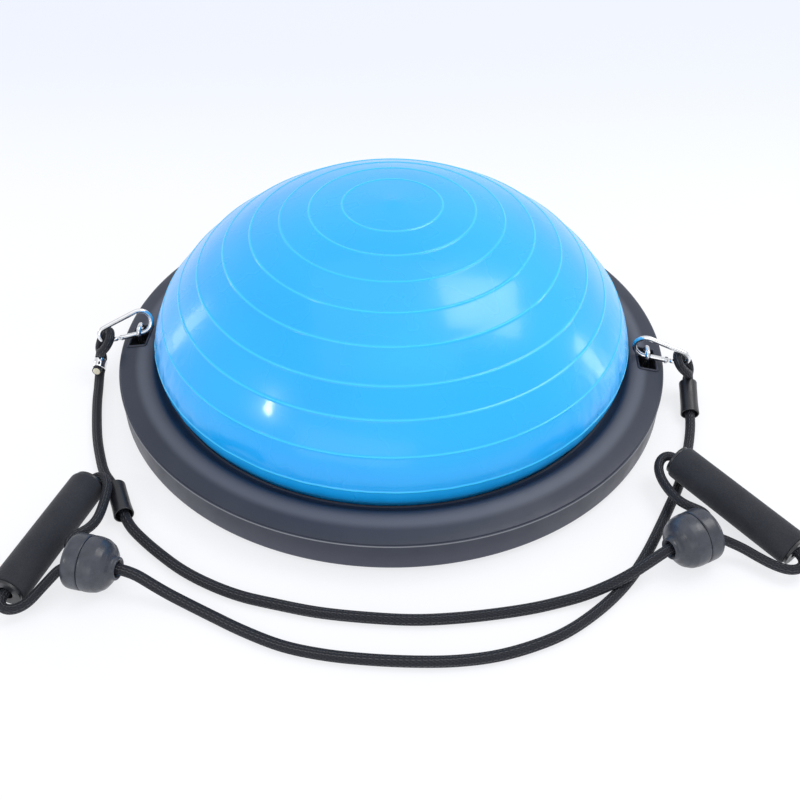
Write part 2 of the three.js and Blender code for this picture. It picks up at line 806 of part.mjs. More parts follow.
function addAnchor(name, side) {
  addPiece(`${name}_anchor_cup`, anchorCup(side), "shell");
  addPiece(`${name}_u_bolt`, uBolt(side), "steel");
  addPiece(`${name}_anchor_plate`, anchorPlate(side), "steel");
  addPiece(`${name}_u_bolt_nut_front`, nut(side, -1), "steel");
  addPiece(`${name}_u_bolt_nut_back`, nut(side, 1), "steel");
}

function addHook(name, frame) {
  addPiece(`${name}_hook_body`, hookBody(frame), "steel");
  addPiece(`${name}_hook_gate`, hookGate(frame), "steel");
  addPiece(`${name}_gate_rivet`, gateRivet(frame), "steel");
  addPiece(`${name}_gate_spring`, gateSpring(frame), "steel");
}

function addStopper(name, stopper) {
  addPiece(`${name}_stopper_front`, stopper.place(stopperFront()), "plastic");
  addPiece(`${name}_stopper_back`, stopper.place(stopperBack()), "plastic");
  addPiece(`${name}_cord_knot`, stopper.place(knot(1, 28)), "cord");
  addPiece(`${name}_loop_knot`, stopper.place(knot(2, 12)), "cord");
}

function addHandle(name, stopper, handle, toGrip, fromGrip) {
  addPiece(`${name}_grip`, handleGrip(handle), "foam");
  addPiece(`${name}_core_tube`, handleCore(handle), "plastic");
  addPiece(`${name}_handle_loop`, handleLoop(stopper, handle, toGrip, fromGrip), "cord");
}

addBase();
addAnchor("left", -1);
addAnchor("right", 1);

const leftHook = new HookFrame(-1, 29.5, 22);
const rightHook = new HookFrame(1, 14, -5);
addHook("left", leftHook);
addHook("right", rightHook);

const leftEnd = new CordEnd([-314.5, -36, 14], [0, -0.9, -0.436], [5, -4.6]);
const rightEnd = new CordEnd([318, -27.4, 14.2], [-0.04, -0.968, -0.247], [4.4, -4.6]);
addPiece("left_cord_eye", cordEye(leftEnd, LEFT_EYE_WAY), "cord");
addPiece("right_cord_eye", cordEye(rightEnd, RIGHT_EYE_WAY), "cord");
addPiece("left_ferrule", ferrule(leftEnd, 9.2), "steel");
addPiece("right_ferrule", ferrule(rightEnd, 7.4), "steel");
const tailFrom = new THREE.Vector3(-314.5, -49.4, 12.9);
addPiece("left_cord_tail", aim(disc(4.4, 0, 3.4, 12), tailFrom, new THREE.Vector3(0, -1, 0)), "latex");
addPiece("left_sleeve", sleeve([-251.4, -210.5, FLOOR_Z + SLEEVE_R + 0.1], [18, -36, 0]), "rubber");
addPiece("right_sleeve", sleeve(rightEnd.at(0.8).toArray(), rightEnd.axis.toArray()), "rubber");

const leftStopper = new Stopper([-215.4, -321.3, FLOOR_Z + BULB_R], [0.985, -0.17, 0]);
const rightStopper = new Stopper([265.6, -265.5, FLOOR_Z + BULB_R], [-0.855, -0.518, 0]);
addStopper("left", leftStopper);
addStopper("right", rightStopper);

const below = FERRULE_L + GAP;
const leftStart = [leftEnd.at(below, -4.6), leftEnd.at(below + 3, -4.5)];
const rightStart = [rightEnd.at(below), rightEnd.at(26), rightEnd.at(SLEEVE_L)];
addPiece("left_cord", cordTube(leftStart, LEFT_CORD_WAY, rightStopper), "cord");
addPiece("right_cord", cordTube(rightStart, RIGHT_CORD_WAY, leftStopper), "cord");

const leftHandle = new Handle([-274, -214, FLOOR_Z + GRIP_R], [-308, -348, FLOOR_Z + GRIP_R]);
const rightHandle = new Handle([286.5, -154.5, 23.6], [381.7, -253.9, 11.8]);
addHandle("left", leftStopper, leftHandle, LEFT_LOOP_TO_GRIP, LEFT_LOOP_FROM_GRIP);
addHandle("right", rightStopper, rightHandle, RIGHT_LOOP_TO_GRIP, RIGHT_LOOP_FROM_GRIP);

export default model;
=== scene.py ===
import math

import bmesh
import bpy
import numpy as np
from mathutils import Matrix, Vector, noise


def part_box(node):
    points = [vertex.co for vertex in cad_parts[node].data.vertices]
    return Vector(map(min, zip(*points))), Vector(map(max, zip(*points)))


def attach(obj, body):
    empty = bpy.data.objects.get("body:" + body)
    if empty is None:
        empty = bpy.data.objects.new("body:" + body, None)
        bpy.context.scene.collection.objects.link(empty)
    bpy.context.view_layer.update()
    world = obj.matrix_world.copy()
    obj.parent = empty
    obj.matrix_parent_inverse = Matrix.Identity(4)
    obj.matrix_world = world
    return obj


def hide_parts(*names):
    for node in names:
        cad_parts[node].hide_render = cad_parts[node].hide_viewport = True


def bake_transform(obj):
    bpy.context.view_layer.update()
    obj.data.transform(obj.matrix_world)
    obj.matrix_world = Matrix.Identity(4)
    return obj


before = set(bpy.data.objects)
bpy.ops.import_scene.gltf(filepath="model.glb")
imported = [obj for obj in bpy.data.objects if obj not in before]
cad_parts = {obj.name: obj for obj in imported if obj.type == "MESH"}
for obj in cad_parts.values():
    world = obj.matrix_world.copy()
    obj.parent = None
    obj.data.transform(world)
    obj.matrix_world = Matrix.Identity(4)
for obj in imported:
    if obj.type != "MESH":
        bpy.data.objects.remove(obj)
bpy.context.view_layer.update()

MM = 0.001
FLOOR_Z = -5.3
UP = Vector((0, 0, 1))
SIDES = {"left": -1, "right": 1}

# Sizes in millimetres, as in the CAD
BASE_R = 290
RING_SLOPE = math.tan(math.radians(10))
ANCHOR_X = 271
ANCHOR_Y = -16.5
BOLT_TOP_Z = 47.6
HOOK_R = 2.6
HOOK_WIDE_R = 12.4
HOOK_NARROW_R = 7.4
HOOK_SPAN = 37
HOOK_REST_Z = 38.8
GATE_R = 2.7
GATE_TIP = 7
RIVET_AT = 23.5
GATE_END = 25.9
SHANK_AT = 27.5
CORD_R = 5
LOOP_R = 4.5
FERRULE_L = 10.5
FERRULE_HALF_W = 6.9
SLEEVE_L = 40
BULB_R = 24.8
BULB_L = 44
BULB_SPLIT = 16
BULB_INSIDE_R = 21.8
KNOT_FACE = 34
LOOP_SPREAD = 9
GRIP_L = 132
FLANGE_T = 3
HANDLE_L = GRIP_L + 2 * FLANGE_T

# Where the materials change and where painted light and shade begin, from and to, in metres: by height (Z),
# by distance to the side (X) or from the axis (R), and at the pocket's edge by height with the ring's slope
# taken out
SKIN_SHADE_Z = (0.03, 0.12)
SKIN_GATHER_Z = (0.036, 0.115)
SKIN_GATHER_X = (0.12, 0.235)
POCKET_SHADE_EDGE = (0.0828, 0.0836)
SHOULDER_HIGHLIGHT_INNER_R = (0.2535, 0.2655)
SHOULDER_HIGHLIGHT_OUTER_R = (0.267, 0.2755)
RIM_WALL_R = (0.2885, 0.2895)
RIM_BOUNCE_LIGHT_Z = (0.003, 0.026)
PARTING_Z = 0.0304
PARTING_HIGHLIGHT_HALF = (0.0002, 0.0006)

# How often the braid's yarns cross and its grey threads drift round, in millimetres along the cord
YARN_PITCH = 5.0
THREAD_DRIFT = 900.0


# Camera

def make_camera():
    place = Vector((59.1, -861.0, 711.9)) * MM
    forward = (Vector((9.4, 0.5, -55.4)) * MM - place).normalized()
    level = forward.cross(UP).normalized()
    roll = math.radians(0.544)
    right = level * math.cos(roll) + level.cross(forward) * math.sin(roll)
    up = right.cross(forward)
    data = bpy.data.cameras.new("camera")
    data.lens = 45.36
    data.sensor_width = 36
    data.clip_start = 0.01
    camera = bpy.data.objects.new("camera", data)
    bpy.context.scene.collection.objects.link(camera)
    axes = Matrix((right, up, -forward)).transposed()
    camera.matrix_world = Matrix.Translation(place) @ axes.to_4x4()
    bpy.context.scene.camera = camera


# Mesh helpers. Points are in millimetres until a mesh is made.

def new_piece(name, points, faces, sharp=35, attributes=None):
    mesh = bpy.data.meshes.new(name)
    mesh.from_pydata([Vector(p) * MM for p in points], [], faces)
    for key, values in (attributes or {}).items():
        mesh.attributes.new(key, "FLOAT", "POINT").data.foreach_set("value", values)
    piece = bpy.data.objects.new(name, mesh)
    bpy.context.scene.collection.objects.link(piece)
    soften(piece, sharp)
    return piece


def soften(piece, sharp=35):
    """Outward normals, with smooth shading except across edges sharper than an angle."""
    bm = bmesh.new()
    bm.from_mesh(piece.data)
    bmesh.ops.recalc_face_normals(bm, faces=bm.faces)
    limit = math.radians(sharp)
    for face in bm.faces:
        face.smooth = True
    for edge in bm.edges:
        edge.smooth = len(edge.link_faces) == 2 and edge.calc_face_angle(0) < limit
    bm.to_mesh(piece.data)
    bm.free()


def finish_piece(piece, body, material, slot, *nodes):
    """Gives a piece its material, the CAD nodes it replaces and the body it rides on; the slot is not used.
    """
    piece.data.materials.clear()
    piece.data.materials.append(material)
    if nodes:
        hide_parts(*nodes)
    if body:
        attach(piece, body)
    return piece


def fillet(profile, radius, steps=4, closed=False):
    """Rounds a profile's corners, by a length along each side that meets there."""
    points = [np.array(p, float) for p in profile]
    count = len(points)
    result = []
    for i, corner in enumerate(points):
        size = radius[i] if isinstance(radius, (list, tuple)) else radius
        if size <= 0 or (not closed and i in (0, count - 1)):
            result.append(corner)
            continue
        before, after = points[i - 1] - corner, points[(i + 1) % count] - corner
        reach = [min(size, 0.45 * np.linalg.norm(way)) for way in (before, after)]
        start = corner + before / np.linalg.norm(before) * reach[0]
        end = corner + after / np.linalg.norm(after) * reach[1]
        for k in range(steps + 1):
            t = k / steps
            result.append((1 - t) ** 2 * start + 2 * t * (1 - t) * corner + t * t * end)
    return result


def placed(point, axis=(0, 0, 1), side=None):
    """A matrix that takes +Z to an axis, and +X to a side where one is given."""
    z = Vector(axis).normalized()
    x = Vector(side) if side else Vector((1, 0, 0) if abs(z.x) < 0.9 else (0, 1, 0))
    x = (x - z * x.dot(z)).normalized()
    turn = Matrix((x, z.cross(x), z)).transposed()
    return Matrix.Translation(Vector(point)) @ turn.to_4x4()


def wall_faces(sides, rings):
    """The quads between rings of points that follow one another."""
    faces = []
    for low in range(0, (rings - 1) * sides, sides):
        for k in range(sides):
            n = (k + 1) % sides
            faces.append([low + k, low + n, low + sides + n, low + sides + k])
    return faces


def end_faces(sides, rings):
    """The first ring and the last one, each closed by one face."""
    last = (rings - 1) * sides
    return [list(range(sides)), list(range(last, last + sides))]


def lathe(name, profile, place=None, sides=64, closed=False, sharp=35):
    """Turns a profile of [radius, height] points about the Z axis."""
    place = place or Matrix.Identity(4)
    points, rings = [], []
    for radius, height in profile:
        if radius < 1e-6:
            rings.append([len(points)] * sides)
            points.append(place @ Vector((0, 0, height)))
            continue
        rings.append(list(range(len(points), len(points) + sides)))
        for k in range(sides):
            angle = 2 * math.pi * k / sides
            ring = Vector((radius * math.cos(angle), radius * math.sin(angle), height))
            points.append(place @ ring)
    pairs = list(zip(rings, rings[1:]))
    if closed:
        pairs.append((rings[-1], rings[0]))
    faces = []
    for low, high in pairs:
        for k in range(sides):
            n = (k + 1) % sides
            corners = [low[k], low[n], high[n], high[k]]
            faces.append(list(dict.fromkeys(corners)))
    return new_piece(name, points, [f for f in faces if len(f) > 2], sharp)


def smooth_route(points, step):
    """A centripetal Catmull-Rom curve through points, resampled evenly."""
    p = np.array([list(q) for q in points], float)
    p = np.vstack([2 * p[0] - p[1], p, 2 * p[-1] - p[-2]])
    dense = []
    for i in range(1, len(p) - 2):
        knots = [0.0]
        for a, b in zip(p[i - 1 : i + 2], p[i : i + 3]):
            knots.append(knots[-1] + math.sqrt(np.linalg.norm(b - a)))
        t0, t1, t2, t3 = knots
        q = p[i - 1 : i + 3]
        for t in np.linspace(t1, t2, 24, endpoint=False):
            a = q[0] * (t1 - t) / (t1 - t0) + q[1] * (t - t0) / (t1 - t0)
            b = q[1] * (t2 - t) / (t2 - t1) + q[2] * (t - t1) / (t2 - t1)
            c = q[2] * (t3 - t) / (t3 - t2) + q[3] * (t - t2) / (t3 - t2)
            a = a * (t2 - t) / (t2 - t0) + b * (t - t0) / (t2 - t0)
            c = b * (t3 - t) / (t3 - t1) + c * (t - t1) / (t3 - t1)
            dense.append(a * (t2 - t) / (t2 - t1) + c * (t - t1) / (t2 - t1))
    dense.append(p[-2])
    return resampled(np.array(dense), step)


def resampled(dense, step):
    """The same line, with points about a step apart."""
    travel = np.r_[0, np.cumsum(np.linalg.norm(np.diff(dense, axis=0), axis=1))]
    count = max(2, int(round(travel[-1] / step)) + 1)
    at = np.linspace(0, travel[-1], count)
    return np.stack([np.interp(at, travel, dense[:, k]) for k in range(3)], axis=1)


def relaxed(path, rounds):
    """Evens out the last small changes of bend along a path, keeping its two ends."""
    path = path.copy()
    for _ in range(rounds):
        path[2:-2] = (path[1:-3] + 2 * path[2:-2] + path[3:-1]) / 4
    return path


def sweep(name, path, radius, sides=24):
    """A tube along a path, carrying how far along and how far round each point is."""
    path = np.array([list(q) for q in path], float)
    ways = np.gradient(path, axis=0)
    ways /= np.linalg.norm(ways, axis=1)[:, None]
    side = np.cross(ways[0], [0, 0, 1] if abs(ways[0][2]) < 0.9 else [1, 0, 0])
    travel = np.r_[0, np.cumsum(np.linalg.norm(np.diff(path, axis=0), axis=1))]
    radii = np.broadcast_to(radius, len(path))
    points, along, around = [], [], []
    for centre, way, size, far in zip(path, ways, radii, travel):
        side = side - way * np.dot(side, way)
        side /= np.linalg.norm(side)
        other = np.cross(way, side)
        for k in range(sides):
            angle = 2 * math.pi * k / sides
            x, y = math.cos(angle), math.sin(angle)
            points.append(centre + size * (side * x + other * y))
            along.append(far)
            around.append(x)
    faces = wall_faces(sides, len(path)) + end_faces(sides, len(path))
    return new_piece(name, points, faces, attributes={"along": along, "around": around})


def prism(outline, low, high):
    """A cutting solid: a flat outline raised from low to high."""
    count = len(outline)
    points = [(x, y, low) for x, y in outline] + [(x, y, high) for x, y in outline]
    return new_piece("cutter", points, end_faces(count, 2) + wall_faces(count, 2))


def cut(piece, *cutters):
    for cutter in cutters:
        change = piece.modifiers.new("cut", "BOOLEAN")
        change.operation = "DIFFERENCE"
        change.solver = "EXACT"
        change.object = cutter
        apply_changes(piece)
        bpy.data.objects.remove(cutter)
    soften(piece)


def apply_changes(piece):
    graph = bpy.context.evaluated_depsgraph_get()
    mesh = bpy.data.meshes.new_from_object(piece.evaluated_get(graph))
    piece.modifiers.clear()
    piece.data = mesh


# Materials

class Finish:
    """A procedural material on one Principled shader."""

    def __init__(self, name, color, roughness, **sockets):
        self.material = bpy.data.materials.new(name)
        self.material.use_nodes = True
        self.nodes = self.material.node_tree.nodes
        self.links = self.material.node_tree.links
        self.shader = self.nodes["Principled BSDF"]
        self.height = None
        self.shader.inputs["Base Color"].default_value = (*color, 1)
        self.shader.inputs["Roughness"].default_value = roughness
        for key, value in sockets.items():
            self.shader.inputs[key.replace("_", " ")].default_value = value

    def add(self, kind, inputs=None, **settings):
        node = self.nodes.new("ShaderNode" + kind)
        for key, value in settings.items():
            setattr(node, key, value)
        for key, value in (inputs or {}).items():
            if isinstance(value, bpy.types.NodeSocket):
                self.links.new(value, node.inputs[key])
            else:
                node.inputs[key].default_value = value
        return node

    def place(self, scale=(1, 1, 1)):
        """Where a point is on the object, in metres, stretched along the axes."""
        coordinates = self.add("TexCoord").outputs["Object"]
        return self.add("Mapping", {"Vector": coordinates, "Scale": scale}).outputs[0]

    def noise(self, scale, detail=3, rough=0.55, stretch=(1, 1, 1)):
        inputs = {"Vector": self.place(stretch), "Scale": scale, "Detail": detail, "Roughness": rough}
        return self.add("TexNoise", inputs).outputs["Fac"]

    def attribute(self, name):
        return self.add("Attribute", attribute_name=name).outputs["Fac"]

    def math(self, operation, a, b=0.0):
        return self.add("Math", {0: a, 1: b}, operation=operation).outputs[0]

    def mix(self, factor, a, b):
        node = self.add("Mix", data_type="RGBA")
        for socket, value in zip((node.inputs[0], node.inputs[6], node.inputs[7]), (factor, a, b)):
            if isinstance(value, bpy.types.NodeSocket):
                self.links.new(value, socket)
            else:
                socket.default_value = (*value, 1) if isinstance(value, tuple) else value
        return node.outputs[2]

    def range(self, value, low, high, to_low=0.0, to_high=1.0):
        inputs = {0: value, 1: low, 2: high, 3: to_low, 4: to_high}
        return self.add("MapRange", inputs, interpolation_type="SMOOTHSTEP").outputs[0]

    def bump(self, height, distance, strength=1.0):
        inputs = {"Height": height, "Distance": distance, "Strength": strength}
        if self.height:
            inputs["Normal"] = self.height
        self.height = self.add("Bump", inputs).outputs[0]
        self.links.new(self.height, self.shader.inputs["Normal"])

    def color(self, value):
        self.links.new(value, self.shader.inputs["Base Color"])

    def roughness(self, value):
        self.links.new(value, self.shader.inputs["Roughness"])


def dome_skin():
    """Glossy blue vinyl, cyan along the ridges and gathered in streaks at the sides' foot, with painted
    light that pales it towards the bottom.
    """
    blue, cyan = (0.004, 0.45, 1.0), (0.03, 0.64, 1.0)
    skin = Finish("dome_skin", blue, 0.28, Coat_Weight=0.3, Coat_Roughness=0.08)
    cloud = skin.noise(5, 2)
    tone = skin.mix(skin.range(cloud, 0.3, 0.7), (0.003, 0.40, 0.99), (0.006, 0.44, 1.0))
    split = skin.add("SeparateXYZ", {0: skin.place()})
    # Painted light: towards the bottom the blue is painted paler, to make up for the shade on the lower
    # skin.
    painted_low_light = skin.range(split.outputs[2], *SKIN_SHADE_Z, 1.0, 0.0)
    tone = skin.mix(skin.math("MULTIPLY", painted_low_light, 0.6), tone, (0.012, 0.42, 1.0))
    skin.color(skin.mix(skin.math("MULTIPLY", skin.attribute("ridge"), 0.7), tone, cyan))
    skin.roughness(skin.range(skin.noise(12, 3, 0.5), 0.3, 0.75, 0.24, 0.32))
    low = skin.range(split.outputs[2], *SKIN_GATHER_Z, 1.0, 0.0)
    aside = skin.range(skin.math("ABSOLUTE", split.outputs[0]), *SKIN_GATHER_X)
    streaks = skin.noise(34, 2, 0.5, (1, 1, 0.45))
    skin.bump(skin.math("MULTIPLY", skin.math("MULTIPLY", low, aside), streaks), 0.016, 0.8)
    return skin.material


def shell_plastic(name, inside=False):
    """Textured charcoal plastic, with painted shade that turns it black inside a pocket.

    Outside it has a painted highlight in a pale band on the ring's shoulder, painted light from the floor
    that pales the foot of its wall, and a painted highlight along the parting line.
    """
    plastic = Finish(name, (0.03, 0.036, 0.055), 0.4, Specular_IOR_Level=0.4)
    cloud = plastic.noise(9, 4, 0.6)
    tone = plastic.mix(plastic.range(cloud, 0.3, 0.7), (0.020, 0.026, 0.047), (0.027, 0.034, 0.056))
    split = plastic.add("SeparateXYZ", {0: plastic.place()})
    x, y, z = split.outputs
    if inside:
        # Painted shade: below the pocket's edge the plastic is painted near-black, for the shade deep in the
        # pocket.
        fall = plastic.math("MULTIPLY", plastic.math("ABSOLUTE", x), RING_SLOPE)
        depth = plastic.math("ADD", z, fall)
        dark = plastic.range(depth, *POCKET_SHADE_EDGE, 1.0, 0.0)
        tone = plastic.mix(dark, tone, (0.014, 0.0145, 0.018))
    else:
        reach = plastic.math("SQRT", plastic.math("ADD", plastic.math("MULTIPLY", x, x),
                                                  plastic.math("MULTIPLY", y, y)))
        # Painted highlight: a pale band across the ring's shoulder.
        rise = plastic.range(reach, *SHOULDER_HIGHLIGHT_INNER_R)
        band = plastic.math("MULTIPLY", rise, plastic.range(reach, *SHOULDER_HIGHLIGHT_OUTER_R, 1.0, 0.0))
        tone = plastic.mix(plastic.math("MULTIPLY", band, 0.8), tone, (0.10, 0.11, 0.145))
        # Painted light: the outer wall is painted paler towards its foot, as if lit by the bright floor.
        rim = plastic.range(reach, *RIM_WALL_R)
        foot = plastic.range(z, *RIM_BOUNCE_LIGHT_Z, 0.85, 0.0)
        tone = plastic.mix(plastic.math("MULTIPLY", rim, foot), tone, (0.045, 0.05, 0.078))
        # Painted highlight: a thin light line along the parting line, where its edge catches the light from
        # above.
        away = plastic.math("ABSOLUTE", plastic.math("SUBTRACT", z, PARTING_Z))
        line = plastic.range(away, *PARTING_HIGHLIGHT_HALF, 1.0, 0.0)
        tone = plastic.mix(plastic.math("MULTIPLY", rim, line), tone, (0.21, 0.22, 0.25))
    plastic.color(tone)
    plastic.roughness(plastic.range(plastic.noise(40, 4, 0.6), 0.25, 0.75, 0.34, 0.46))
    plastic.bump(plastic.noise(1600, 2), 0.0001, 0.3)
    plastic.bump(plastic.noise(7, 2), 0.004, 0.1)
    return plastic.material


def stopper_plastic():
    """Charcoal plastic, a little shinier than the shells."""
    plastic = Finish("stopper_plastic", (0.05, 0.055, 0.07), 0.36, Specular_IOR_Level=0.5)
    cloud = plastic.noise(60, 5, 0.65)
    tone = plastic.mix(plastic.range(cloud, 0.35, 0.7), (0.036, 0.040, 0.054), (0.056, 0.062, 0.080))
    plastic.color(tone)
    plastic.roughness(plastic.range(plastic.noise(90, 4), 0.3, 0.7, 0.23, 0.36))
    plastic.bump(plastic.noise(1200, 2), 0.0001, 0.3)
    return plastic.material


def handle_foam():
    """Black closed-cell foam with fine pores."""
    foam = Finish("handle_foam", (0.02, 0.022, 0.03), 0.75, Sheen_Weight=0.12, Sheen_Roughness=0.4)
    cloud = foam.noise(30, 5, 0.6)
    foam.color(foam.mix(foam.range(cloud, 0.3, 0.7), (0.014, 0.016, 0.023), (0.022, 0.024, 0.032)))
    cell = foam.add("TexVoronoi", {"Vector": foam.place(), "Scale": 900.0}).outputs["Distance"]
    foam.roughness(foam.range(cell, 0.0, 0.7, 0.72, 0.9))
    foam.bump(cell, 0.0004, 0.45)
    foam.bump(foam.noise(120, 3), 0.0006, 0.3)
    return foam.material


def cord_braid(radius):
    """Fine crossed yarns over the whole cord, with pairs of grey threads along it."""
    braid = Finish("cord_braid_%d" % round(radius * 10), (0.01, 0.011, 0.015), 0.55, Specular_IOR_Level=0.35)
    along, around = braid.attribute("along"), braid.attribute("around")
    turn = braid.math("ARCCOSINE", braid.math("MULTIPLY", around, 0.9999))
    run = braid.math("MULTIPLY", along, 2 * math.pi / YARN_PITCH)
    twelve = braid.math("MULTIPLY", turn, 12.0)
    one = braid.math("SINE", braid.math("ADD", twelve, run))
    other = braid.math("SINE", braid.math("SUBTRACT", twelve, run))
    yarn = braid.math("MAXIMUM", one, other)
    drift = braid.math("SINE", braid.math("MULTIPLY", along, 2 * math.pi / THREAD_DRIFT))
    where = braid.math("ADD", turn, braid.math("MULTIPLY", drift, 0.35))
    thread = braid.math("COSINE", braid.math("MULTIPLY", where, 4.0))
    pair = braid.math("ABSOLUTE", braid.math("SUBTRACT", thread, 0.55))
    line = braid.range(pair, 0.1, 0.24, 1.0, 0.0)
    stitch = braid.range(yarn, -0.2, 0.9, 0.35, 1.0)
    line = braid.math("MULTIPLY", line, stitch)
    worn = braid.noise(300, 4)
    dark = braid.mix(worn, (0.006, 0.0072, 0.012), (0.012, 0.0145, 0.023))
    braid.color(braid.mix(line, dark, (0.07, 0.072, 0.08)))
    braid.roughness(braid.range(yarn, -0.5, 1.0, 0.75, 0.48))
    braid.bump(yarn, 0.00035, 0.8)
    return braid.material


def soft_black():
    pvc = Finish("sleeve_pvc", (0.014, 0.015, 0.018), 0.34, Specular_IOR_Level=0.55)
    pvc.color(pvc.mix(pvc.noise(80, 4), (0.010, 0.011, 0.014), (0.020, 0.021, 0.026)))
    pvc.roughness(pvc.range(pvc.noise(140, 5), 0.3, 0.7, 0.27, 0.44))
    pvc.bump(pvc.noise(500, 3), 0.0002, 0.25)
    return pvc.material


def black_rubber():
    rubber = Finish("black_rubber", (0.015, 0.015, 0.017), 0.7)
    rubber.color(rubber.mix(rubber.noise(120, 4), (0.012, 0.012, 0.014), (0.024, 0.024, 0.027)))
    rubber.roughness(rubber.range(rubber.noise(200, 4), 0.3, 0.7, 0.6, 0.82))
    rubber.bump(rubber.noise(1400, 2), 0.0002, 0.4)
    return rubber.material


def plated(name, color, roughness, spread):
    plate = Finish(name, color, roughness, Metallic=1.0)
    dull = tuple(0.86 * c for c in color)
    plate.color(plate.mix(plate.range(plate.noise(160, 4), 0.35, 0.75), color, dull))
    plate.roughness(plate.range(plate.noise(320, 5), 0.3, 0.75, roughness, roughness + spread))
    plate.bump(plate.noise(240, 3), 0.0002, 0.12)
    return plate.material


def latex_core():
    core = Finish("latex_core", (0.80, 0.72, 0.56), 0.6, Subsurface_Weight=0.1)
    ring = core.noise(900, 3)
    core.color(core.mix(core.range(ring, 0.3, 0.7), (0.70, 0.60, 0.44), (0.86, 0.80, 0.66)))
    core.bump(ring, 0.0003, 0.4)
    return core.material


def floor_sheet():
    """A pale floor that glows, bluer further back."""
    sheet = Finish("floor_sheet", (0.5, 0.5, 0.52), 0.6, Specular_IOR_Level=0.2)
    split = sheet.add("SeparateXYZ", {0: sheet.place()})
    far = sheet.range(split.outputs[1], 0.1, 0.9)
    cloud = sheet.range(sheet.noise(2.5, 2), 0.3, 0.7)
    near = sheet.mix(cloud, (0.25, 0.25, 0.26), (0.24, 0.24, 0.252))
    pale = sheet.mix(far, near, (0.22, 0.23, 0.25))
    sheet.color(pale)
    glow = sheet.mix(far, (0.97, 0.98, 1.0), (0.85, 0.885, 1.0))
    sheet.links.new(glow, sheet.shader.inputs["Emission Color"])
    sheet.shader.inputs["Emission Strength"].default_value = 0.74
    sheet.bump(sheet.noise(300, 2), 0.0001, 0.1)
    return sheet.material


DOME = dome_skin()
SHELL = shell_plastic("shell_plastic")
POCKET = shell_plastic("pocket_plastic", inside=True)
STOPPER = stopper_plastic()
FOAM = handle_foam()
CORD = cord_braid(CORD_R)
LOOP = cord_braid(LOOP_R)
PVC = soft_black()
RUBBER = black_rubber()
CHROME = plated("bright_plate", (0.86, 0.87, 0.89), 0.07, 0.1)
ZINC = plated("zinc_plate", (0.66, 0.67, 0.69), 0.28, 0.14)
LATEX = latex_core()


# Frames of the hooks, cord ends, stoppers and handles

class HookFrame:
    """u runs from the wide bend to the narrow one, v from the gate to the spine."""

    def __init__(self, side, yaw, tilt):
        lean, turn = math.radians(tilt), math.radians(yaw)
        self.taper = math.asin((HOOK_WIDE_R - HOOK_NARROW_R) / HOOK_SPAN)
        dip = self.taper * math.cos(lean)
        level = math.cos(dip)
        self.u = Vector((side * math.cos(turn) * level, -math.sin(turn) * level, -math.sin(dip)))
        back = Vector((0, math.sin(lean), math.cos(lean)))
        self.v = (back - self.u * back.dot(self.u)).normalized()
        self.w = self.u.cross(self.v)
        rest = Vector((side * (ANCHOR_X - 1.1), ANCHOR_Y + 0.5, HOOK_REST_Z))
        tu, tv = self.gate_line(HOOK_WIDE_R * math.sin(self.taper))
        self.centre = rest - self.u * tu - self.v * tv

    def gate_line(self, u):
        start = HOOK_WIDE_R * math.sin(self.taper)
        return u, -HOOK_WIDE_R * math.cos(self.taper) + (u - start) * math.tan(self.taper)

    def at(self, u, v):
        return self.centre + self.u * u + self.v * v

    def gate_way(self):
        return self.u * math.cos(self.taper) + self.v * math.sin(self.taper)

    def gate_matrix(self, station):
        """Z along the gate, X across it in the rivet's direction."""
        return placed(self.at(*self.gate_line(station)), self.gate_way(), self.w)


class CordEnd:
    """The crimp at a cord's end: its top, the way down it, and the way across its two cords."""

    def __init__(self, top, axis, split):
        self.axis = Vector(axis).normalized()
        self.top = Vector(top)
        self.across = (UP - self.axis * UP.dot(self.axis)).normalized()
        self.split = split

    def at(self, down, across=0):
        return self.top + self.axis * down + self.across * across


class Stopper:
    """A bulb's axis from its flat rear to its nose, with the handle cord's holes to each side."""

    def __init__(self, front, way):
        self.way = Vector(way).normalized()
        self.rear = Vector(front) - self.way * BULB_L
        self.aside = Vector((-self.way.y, self.way.x, 0)) * math.copysign(1, self.way.x)
        self.matrix = placed(self.rear, self.way, UP.cross(self.way))

    def at(self, along, aside=0):
        return self.rear + self.way * along + self.aside * aside


class Handle:
    """A grip's axis, from one end ring to the other."""

    def __init__(self, start, end):
        self.start = Vector(start)
        self.way = (Vector(end) - self.start).normalized()
        self.matrix = placed(self.start, self.way)

    def at(self, along):
        return self.start + self.way * along


HOOKS = {"left": HookFrame(-1, 29.5, 22), "right": HookFrame(1, 14, -5)}
ENDS = {
    "left": CordEnd((-314.5, -36, 14), (0, -0.9, -0.436), (5, -4.6)),
    "right": CordEnd((318, -27.4, 14.2), (-0.04, -0.968, -0.247), (4.4, -4.6)),
}
STOPPERS = {
    "left": Stopper((-215.4, -321.3, FLOOR_Z + BULB_R), (0.985, -0.17, 0)),
    "right": Stopper((265.6, -265.5, FLOOR_Z + BULB_R), (-0.855, -0.518, 0)),
}
HANDLES = {
    "left": Handle((-274, -214, FLOOR_Z + 17), (-308, -348, FLOOR_Z + 17)),
    "right": Handle((286.5, -154.5, 23.6), (381.7, -253.9, 11.8)),
}


# Cords, by the CAD's routes, as points in millimetres

